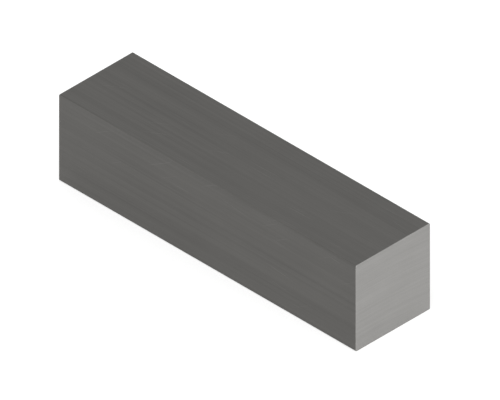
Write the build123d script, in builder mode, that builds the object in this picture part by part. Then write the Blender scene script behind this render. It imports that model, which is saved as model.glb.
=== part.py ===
from build123d import *
import os

# Parallel key of square section with straight ends, in bright-drawn steel, in millimetres.
#
# Half of the key's height lies in the keyseat milled in a shaft and the rest in the slot of a hub.
# Its two flanks carry the torque, and its seat face rests on the floor of the keyseat.
#
# It is one solid, made as the real key is: a drawn square bar with its four long arrises broken,
# cut square to length, and the burr taken off round both cut ends.
#
# Frame: X along the key, Y across the flanks, Z up from the seat face.
# The origin is the centre of the seat face.

KEY_WIDTH = 5.0  # flank to flank, the size that fits the keyway
KEY_HEIGHT = 5.0  # seat face to top face
KEY_LENGTH = 20.0  # cut end to cut end

ARRIS_CHAMFER = 0.05  # leg of the 45 degree chamfer along the four long arrises
END_CHAMFER = 0.03  # leg of the deburring chamfer round each cut end


with BuildPart() as parallel_key:
    # The drawn section stands on its seat face.
    with BuildSketch(Plane.YZ) as bar_section:
        with Locations((0, KEY_HEIGHT / 2)):
            Rectangle(KEY_WIDTH, KEY_HEIGHT)
        chamfer(bar_section.vertices(), ARRIS_CHAMFER)

    # The bar runs half its length each way from the origin.
    extrude(amount=KEY_LENGTH / 2, both=True)

    # Both cut ends lose their burr all round, over the flats and the broken arrises alike.
    cut_ends = parallel_key.faces().filter_by(Axis.X)
    chamfer(cut_ends.edges(), END_CHAMFER)

parallel_key.part.label = "parallel_key"

os.makedirs("parts", exist_ok=True)
export_step(parallel_key.part, "parts/parallel_key.step")
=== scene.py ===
import math
from typing import NamedTuple

import bpy
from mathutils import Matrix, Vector


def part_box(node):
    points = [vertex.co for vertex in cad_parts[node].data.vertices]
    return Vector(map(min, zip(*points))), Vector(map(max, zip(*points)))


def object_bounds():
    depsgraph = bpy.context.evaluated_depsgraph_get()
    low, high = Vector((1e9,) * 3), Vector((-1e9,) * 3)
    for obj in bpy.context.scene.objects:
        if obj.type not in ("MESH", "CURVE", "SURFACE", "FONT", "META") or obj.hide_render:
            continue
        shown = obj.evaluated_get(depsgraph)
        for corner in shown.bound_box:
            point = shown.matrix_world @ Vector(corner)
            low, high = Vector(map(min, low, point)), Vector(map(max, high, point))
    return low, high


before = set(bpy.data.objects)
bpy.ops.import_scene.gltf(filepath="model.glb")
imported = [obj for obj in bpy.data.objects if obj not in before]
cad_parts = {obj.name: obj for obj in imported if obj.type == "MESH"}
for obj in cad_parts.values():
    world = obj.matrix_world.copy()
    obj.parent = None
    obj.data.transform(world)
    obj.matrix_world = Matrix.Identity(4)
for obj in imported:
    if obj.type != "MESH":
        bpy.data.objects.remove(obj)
cad_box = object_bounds()

# The looks of a parallel key, in metres, in the CAD model's frame: X runs along the key, and Z is up.
#
# The key is one solid that keeps its CAD shape: a square bar of drawn steel with its edges just broken.
# Its long faces carry the fine lines that the die leaves along a drawn bar.
# Its cut ends are paler, partly as bare metal and partly by painted light that gives them the brightness
# of a lamp at the side, and carry the marks of the saw across them.

MM = 0.001
KEY = "parallel_key"

# Camera: a parallel projection from the isometric direction.
VIEW_AZIMUTH = math.radians(45.0)  # from the front, towards the end on the right
VIEW_ELEVATION = math.atan(1 / math.sqrt(2))  # an isometric view shows all three axes equally
FRAME_WIDTH = 23.77 * MM  # what the picture's width covers
AIM_RIGHT = 0.261 * MM  # how far the camera aims to the right of the key's middle
AIM_UP = 0.084 * MM
CAMERA_DISTANCE = 120 * MM
CLIP_NEAR, CLIP_FAR = 1 * MM, 2000 * MM


def outward(azimuth, elevation):
    """A direction out from the key. Azimuth 0 is in front, and 90 is off the right end."""
    level = math.cos(elevation)
    return Vector((math.sin(azimuth) * level, -math.cos(azimuth) * level, math.sin(elevation)))


def middle(box):
    low, high = box
    return (low + high) / 2


def look(thing, place, target):
    """Puts a camera or lamp at a place and points it at a target."""
    thing.location = place
    thing.rotation_mode = "QUATERNION"
    thing.rotation_quaternion = (target - place).to_track_quat("-Z", "Y")


def add_object(name, data):
    made = bpy.data.objects.new(name, data)
    bpy.context.scene.collection.objects.link(made)
    return made


def make_camera():
    data = bpy.data.cameras.new("camera")
    data.type = "ORTHO"
    data.ortho_scale = FRAME_WIDTH
    data.clip_start, data.clip_end = CLIP_NEAR, CLIP_FAR
    camera = add_object("camera", data)
    away = outward(VIEW_AZIMUTH, VIEW_ELEVATION)
    right = Vector((0, 0, 1)).cross(away).normalized()
    up = away.cross(right)
    aim = middle(cad_box) + right * AIM_RIGHT + up * AIM_UP
    look(camera, aim + away * CAMERA_DISTANCE, aim)
    bpy.context.scene.camera = camera


class Pattern(NamedTuple):
    """Noise in the steel."""

    per_mm: tuple  # how often its features come to the millimetre along X, Y and Z
    octaves: float = 1.0
    fineness: float = 0.5  # how strong each octave is, against the coarser one before it
    share: float = 0.0  # how much it moves the colour


class Nodes:
    """Adds nodes to a material or world. An input is a number, a colour or another node's output."""

    def __init__(self, owner):
        owner.use_nodes = True
        self.tree = owner.node_tree
        self.tree.nodes.clear()

    def add(self, kind, inputs, **settings):
        node = self.tree.nodes.new("ShaderNode" + kind)
        for name, value in settings.items():
            setattr(node, name, value)
        for socket, value in inputs.items():
            if isinstance(value, bpy.types.NodeSocket):
                self.tree.links.new(value, node.inputs[socket])
            else:
                node.inputs[socket].default_value = value
        return node

    def calc(self, operation, *values):
        return self.add("Math", dict(enumerate(values)), operation=operation).outputs[0]

    def largest(self, first, *others):
        for other in others:
            first = self.calc("MAXIMUM", first, other)
        return first

    def scaled(self, vector, factor):
        return self.add("VectorMath", {0: vector, "Scale": factor}, operation="SCALE").outputs[0]

    def split(self, vector):
        return self.add("SeparateXYZ", {0: vector}).outputs

    def joined(self, x, y, z):
        return self.add("CombineXYZ", {0: x, 1: y, 2: z}).outputs[0]

    def mapped(self, value, low, high, to_low=0.0, to_high=1.0):
        """A value taken smoothly from one range to another, and held at its limits."""
        inputs = {"Value": value, "From Min": low, "From Max": high, "To Min": to_low, "To Max": to_high}
        return self.add("MapRange", inputs, interpolation_type="SMOOTHSTEP").outputs[0]

    def mix(self, share, first, second):
        """Two numbers mixed."""
        return self.add("Mix", {0: share, 2: first, 3: second}, data_type="FLOAT").outputs[0]

    def blend(self, share, first, second):
        """Two colours mixed."""
        return self.add("Mix", {0: share, 6: first, 7: second}, data_type="RGBA").outputs[2]

    def noise(self, place, pattern):
        stretched = self.add("VectorMath", {0: place, 1: pattern.per_mm}, operation="MULTIPLY").outputs[0]
        octaves = {"Detail": pattern.octaves - 1, "Roughness": pattern.fineness}
        inputs = {"Vector": stretched, "Scale": 1.0, **octaves}
        return self.add("TexNoise", inputs, noise_dimensions="3D").outputs[0]

    def varied(self, *shares):
        """A factor round 1 that each (noise, pattern) moves up and down by the pattern's share."""
        factor = 1.0
        for noise, pattern in shares:
            factor = self.calc("MULTIPLY_ADD", self.calc("SUBTRACT", noise, 0.5), pattern.share, factor)
        return factor


# Steel, with its colours in linear light
DRAWN_COLOUR = (0.1130, 0.1103, 0.1051)
# painted light in part: the ends are paler than bare cut steel alone, holding the brightness a lamp at the
# side would give them
CUT_COLOUR_WITH_PAINTED_LIGHT = (0.3250, 0.3204, 0.3113)
BUMP_DEPTH = 0.003 * MM  # from the lowest to the highest that the coarser marks can reach
FINE_BUMP = 0.4  # how deep the fine lines and marks are, against the coarser ones

# Drawn skin, the long faces: the lines run along X.
BROAD_LINES = Pattern((0.015, 1.3, 1.3), 3.0, 0.5, share=0.16)
LINES = Pattern((0.03, 5.5, 5.5), 3.0, 0.6, share=0.26)
FINE_LINES = Pattern((0.08, 22.0, 22.0), 4.0, 0.7, share=0.55)
STAIN = Pattern((0.22, 0.5, 0.5), 5.0, 0.6, share=0.18)
GROOVES = Pattern((0.03, 8.0, 8.0))
GROOVE_PEAKS = (0.74, 0.84)  # a groove is where its noise peaks, and so is a scratch
# painted shade: the grooves are only darkened in colour, for the shade in them
GROOVE_SHADE = 0.75
SCRATCHES = Pattern((0.30, 26.0, 1.0))  # along a scratch, across it, and from one angle to the next
SCRATCH_PEAKS = (0.82, 0.88)
SCRATCH_ANGLES = (2.0, -6.0, 31.0)  # degrees from the key's length
SCRATCH_SPACING = 40.0  # keeps the noise of one angle apart from the next one's
SCRATCH_SHEEN = 1.3
WEAR_REACH = 0.16  # how far, in millimetres, handling has brightened the skin beside an edge
WEAR_PATCHES = Pattern((0.8, 3.0, 3.0), 3.0)
WEAR_PEAKS = (0.4, 0.65)
ARRIS_HIGHLIGHT = 0.75  # a painted highlight all along a broken arris; a patch of wear beside an edge has up to 1
# how much brighter the skin is at full wear, which also scales the painted arris highlight
WEAR_AND_HIGHLIGHT_GAIN = 1.12
SKIN_ROUGHNESS = (0.38, 0.50)

# Sawn ends: the marks run across the key, along Y.
SAW_MARKS = Pattern((1.0, 0.06, 5.0), 4.0, 0.65, share=0.24)
FINE_SAW_MARKS = Pattern((1.0, 0.35, 26.0), 3.0, 0.6, share=0.36)
GRAIN = Pattern((1.0, 18.0, 18.0), 3.0, 0.6, share=0.16)
PATCHES = Pattern((1.0, 0.6, 0.6), 4.0, share=0.10)
SAW_TILT = 0.05  # the slope of the saw marks where they cross the middle of the end
SAW_BOW = 0.014  # how many millimetres they drop by their bow, 1 mm to either side of there
CUT_ROUGHNESS = (0.54, 0.64)

MOST_NOISE = (0.3, 0.7)  # nearly all of a noise's values lie in this range
ON_END = (0.50, 0.65)  # bare metal faces along the key by more than this: a cut end or its deburred rim
ON_ARRIS = (0.30, 0.60)  # a broken arris faces across the key by more than this, and up or down too


def scratches(n, x, across):
    """1 in the few thin scratches on the drawn skin, which lie at several angles."""
    sets = []
    for number, angle in enumerate(SCRATCH_ANGLES):
        turn = math.radians(angle)
        along = n.calc("MULTIPLY_ADD", x, math.cos(turn), n.calc("MULTIPLY", across, math.sin(turn)))
        beside = n.calc("MULTIPLY_ADD", x, -math.sin(turn), n.calc("MULTIPLY", across, math.cos(turn)))
        noise = n.noise(n.joined(along, beside, number * SCRATCH_SPACING), SCRATCHES)
        sets.append(n.mapped(noise, *SCRATCH_PEAKS))
    return n.largest(*sets)


def wear_and_arris_highlight(n, place, on_arris):
    """How much the drawn skin is brightened: all along the arrises by a painted highlight, and in patches
    of handling wear beside an edge.
    """
    low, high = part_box(KEY)
    depths = []
    for part, start, end in zip(n.split(place), low / MM, high / MM):
        off_centre = n.calc("ABSOLUTE", n.calc("SUBTRACT", part, (start + end) / 2))
        depths.append(n.calc("SUBTRACT", (end - start) / 2, off_centre))
    under_end, under_flank, under_top_or_seat = depths
    # One of the last two is 0 on any long face, so the other is the way to that face's arris.
    from_edge = n.calc("MINIMUM", under_end, n.largest(under_flank, under_top_or_seat))
    near_edge = n.mapped(from_edge, 0.0, WEAR_REACH, 1.0, 0.0)
    patches = n.mapped(n.noise(place, WEAR_PATCHES), *WEAR_PEAKS)
    # the painted arris highlight, or a patch of wear beside an edge, whichever is more
    return n.largest(n.calc("MULTIPLY", on_arris, ARRIS_HIGHLIGHT), n.calc("MULTIPLY", near_edge, patches))


def drawn_skin(n, place, on_arris):
    """The colour, roughness and height of the long faces, which were pulled through a die."""
    x, y, z = n.split(place)
    broad_lines = n.noise(place, BROAD_LINES)
    lines = n.noise(place, LINES)
    fine_lines = n.noise(place, FINE_LINES)
    stain = n.noise(place, STAIN)
    grooves = n.mapped(n.noise(place, GROOVES), *GROOVE_PEAKS)
    scratched = scratches(n, x, n.calc("ADD", y, z))

    # the lines' light and dark tone is partly real and partly painted shade, for the micro-shadowing of
    # the die lines
    shade = n.varied((broad_lines, BROAD_LINES), (lines, LINES), (fine_lines, FINE_LINES), (stain, STAIN))
    shade = n.calc("MULTIPLY", shade, n.mix(grooves, 1.0, GROOVE_SHADE))
    shade = n.calc("MULTIPLY", shade, n.mix(scratched, 1.0, SCRATCH_SHEEN))
    # painted highlight along the arrises, and wear in patches beside the edges
    shade = n.calc("MULTIPLY", shade, n.mix(wear_and_arris_highlight(n, place, on_arris), 1.0, WEAR_AND_HIGHLIGHT_GAIN))
    roughness = n.mapped(fine_lines, *MOST_NOISE, *SKIN_ROUGHNESS)
    height = n.calc("MULTIPLY_ADD", fine_lines, FINE_BUMP, lines)
    height = n.calc("MULTIPLY_ADD", scratched, -FINE_BUMP, height)
    return n.scaled(DRAWN_COLOUR, shade), roughness, height


def sawn_face(n, place):
    """The colour, roughness and height of the ends, which the saw crossed in shallow arcs. Their colour is
    partly painted light: paler than bare steel, as a lamp at the side would make it.
    """
    x, y, z = n.split(place)
    tilted = n.calc("MULTIPLY_ADD", y, SAW_TILT, z)
    bowed = n.calc("MULTIPLY_ADD", n.calc("MULTIPLY", y, y), SAW_BOW, tilted)
    along_cut = n.joined(x, y, bowed)
    marks = n.noise(along_cut, SAW_MARKS)
    fine_marks = n.noise(along_cut, FINE_SAW_MARKS)
    grain = n.noise(place, GRAIN)
    patches = n.noise(place, PATCHES)

    shade = n.varied((marks, SAW_MARKS), (fine_marks, FINE_SAW_MARKS), (grain, GRAIN), (patches, PATCHES))
    roughness = n.mapped(fine_marks, *MOST_NOISE, *CUT_ROUGHNESS)
    height = n.calc("MULTIPLY_ADD", fine_marks, FINE_BUMP, marks)
    return n.scaled(CUT_COLOUR_WITH_PAINTED_LIGHT, shade), roughness, height


def make_steel():
    steel = bpy.data.materials.new("key_steel")
    n = Nodes(steel)
    coordinates = n.add("TexCoord", {}).outputs
    place = n.scaled(coordinates["Object"], 1 / MM)
    along, across, upright = (n.calc("ABSOLUTE", part) for part in n.split(coordinates["Normal"]))
    on_end = n.mapped(along, *ON_END)
    # on_arris places the painted arris highlight
    on_arris = n.mapped(n.calc("MINIMUM", across, upright), *ON_ARRIS)

    skin_colour, skin_roughness, skin_height = drawn_skin(n, place, on_arris)
    cut_colour_with_painted_light, cut_roughness, cut_height = sawn_face(n, place)
    colour = n.blend(on_end, skin_colour, cut_colour_with_painted_light)
    roughness = n.mix(on_end, skin_roughness, cut_roughness)
    height = n.mix(on_end, skin_height, cut_height)
    bump = n.add("Bump", {"Height": height, "Strength": 1.0, "Distance": BUMP_DEPTH}).outputs[0]

    surface = {"Base Color": colour, "Metallic": 1.0, "Roughness": roughness, "Normal": bump}
    n.add("OutputMaterial", {"Surface": n.add("BsdfPrincipled", surface).outputs[0]})
    return steel


# Floor and world
FLOOR_HALF = 500 * MM
FLOOR_DROP = 0.001 * MM  # keeps the floor just clear of the seat face that rests on it
FLOOR_COLOUR = (0.6, 0.6, 0.6, 1.0)
FLOOR_GLOW = 0.56  # how much white the floor adds where the camera or a reflection sees it
WORLD_LIGHT = 0.80  # how bright the world is as light on the key; where it is seen, it is white
WHITE = (1.0, 1.0, 1.0, 1.0)


def seen(n):
    """1 for a ray from the camera or in a reflection, and 0 for light that falls on the key."""
    path = n.add("LightPath", {}).outputs
    return n.largest(path["Is Camera Ray"], path["Is Glossy Ray"], path["Is Transmission Ray"])


def make_floor():
    mesh = bpy.data.meshes.new("floor")
    far = FLOOR_HALF
    level = cad_box[0].z - FLOOR_DROP
    corners = [(-far, -far, level), (far, -far, level), (far, far, level), (-far, far, level)]
    mesh.from_pydata(corners, [], [(0, 1, 2, 3)])
    floor = add_object("floor", mesh)
    paint = bpy.data.materials.new("floor_white")
    n = Nodes(paint)
    matt = n.add("BsdfDiffuse", {"Color": FLOOR_COLOUR}).outputs[0]
    glow_strength = n.calc("MULTIPLY", seen(n), FLOOR_GLOW)
    glow = n.add("Emission", {"Color": WHITE, "Strength": glow_strength}).outputs[0]
    n.add("OutputMaterial", {"Surface": n.add("AddShader", {0: matt, 1: glow}).outputs[0]})
    mesh.materials.append(paint)


def make_world():
    world = bpy.data.worlds.new("studio")
    n = Nodes(world)
    strength = n.mix(seen(n), WORLD_LIGHT, 1.0)
    background = n.add("Background", {"Color": WHITE, "Strength": strength}).outputs[0]
    n.add("OutputWorld", {"Surface": background})
    bpy.context.scene.world = world


# Lamps: two large soft squares, each with its name, its azimuth in degrees and the brightness of its face
LAMPS = [("main_lamp", 80.0, 1.6), ("fill_lamp", 15.0, 1.4)]
LAMP_ELEVATION = math.radians(30.0)
LAMP_DISTANCE = 260 * MM
LAMP_WIDTH = 200 * MM


def make_lamps():
    target = middle(cad_box)
    for name, azimuth, brightness in LAMPS:
        data = bpy.data.lights.new(name, "AREA")
        data.shape = "SQUARE"
        data.size = LAMP_WIDTH
        data.energy = brightness * math.pi * LAMP_WIDTH**2  # in watts
        away = outward(math.radians(azimuth), LAMP_ELEVATION)
        look(add_object(name, data), target + away * LAMP_DISTANCE, target)


make_camera()
make_world()
make_floor()
make_lamps()
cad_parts[KEY].material_slots[0].material = make_steel()
bpy.context.scene.view_settings.view_transform = "Standard"
